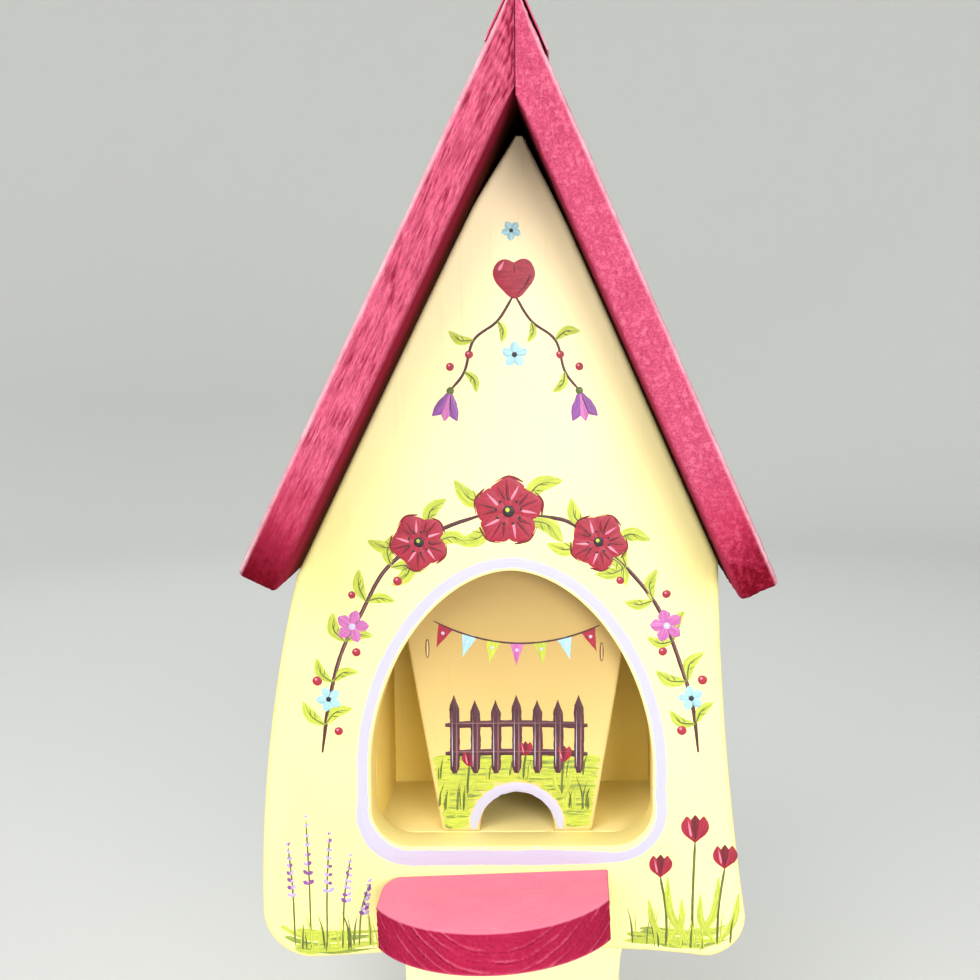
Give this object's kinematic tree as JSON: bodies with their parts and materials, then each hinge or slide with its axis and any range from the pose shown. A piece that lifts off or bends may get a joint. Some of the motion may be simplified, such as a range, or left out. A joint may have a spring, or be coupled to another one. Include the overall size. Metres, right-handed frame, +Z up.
{
  "type": "wooden bird feeder",
  "caption": "Wooden bird feeder: steep gabled house with an arched opening, tapered seed hopper, round-fronted perch, hinged roof board and screw-on back tongue.",
  "frame": {"origin": "on the back board's rear face, on the middle of the house and level with the two screw holes in the tongue", "axes": "+Z up, -Y out of the front, +X to the right seen from the front"},
  "size_m": [0.2173, 0.167, 0.5035],
  "materials": {
    "wall_paint": "cream yellow satin paint over pine",
    "bare_wood": "thinly glazed pine",
    "red_paint": "raspberry red satin paint over pine",
    "ridge_strip": "painted flexible strip",
    "motif_paint": "satin craft paint in several colours",
    "fastener_steel": "zinc plated"
  },
  "bodies": {
    "house": {"back_wall": "wall_paint", "front_wall": "wall_paint", "left_wall": "wall_paint", "right_wall": "wall_paint", "floor_board": "wall_paint", "hopper_front": "wall_paint", "hopper_left_side": "bare_wood", "hopper_right_side": "bare_wood", "perch": "red_paint", "roof_left": "red_paint", "strip_left": "ridge_strip"},
    "lid": {"roof_lid": "red_paint", "strip_lid": "ridge_strip"}
  },
  "joints": [
    {"name": "lid_hinge", "type": "hinge", "parent": "house", "child": "lid", "pos_m": [0.0034, -0.0765, 0.47152], "axis": [0, -1, 0], "range_deg": [0, 110]}
  ]
}
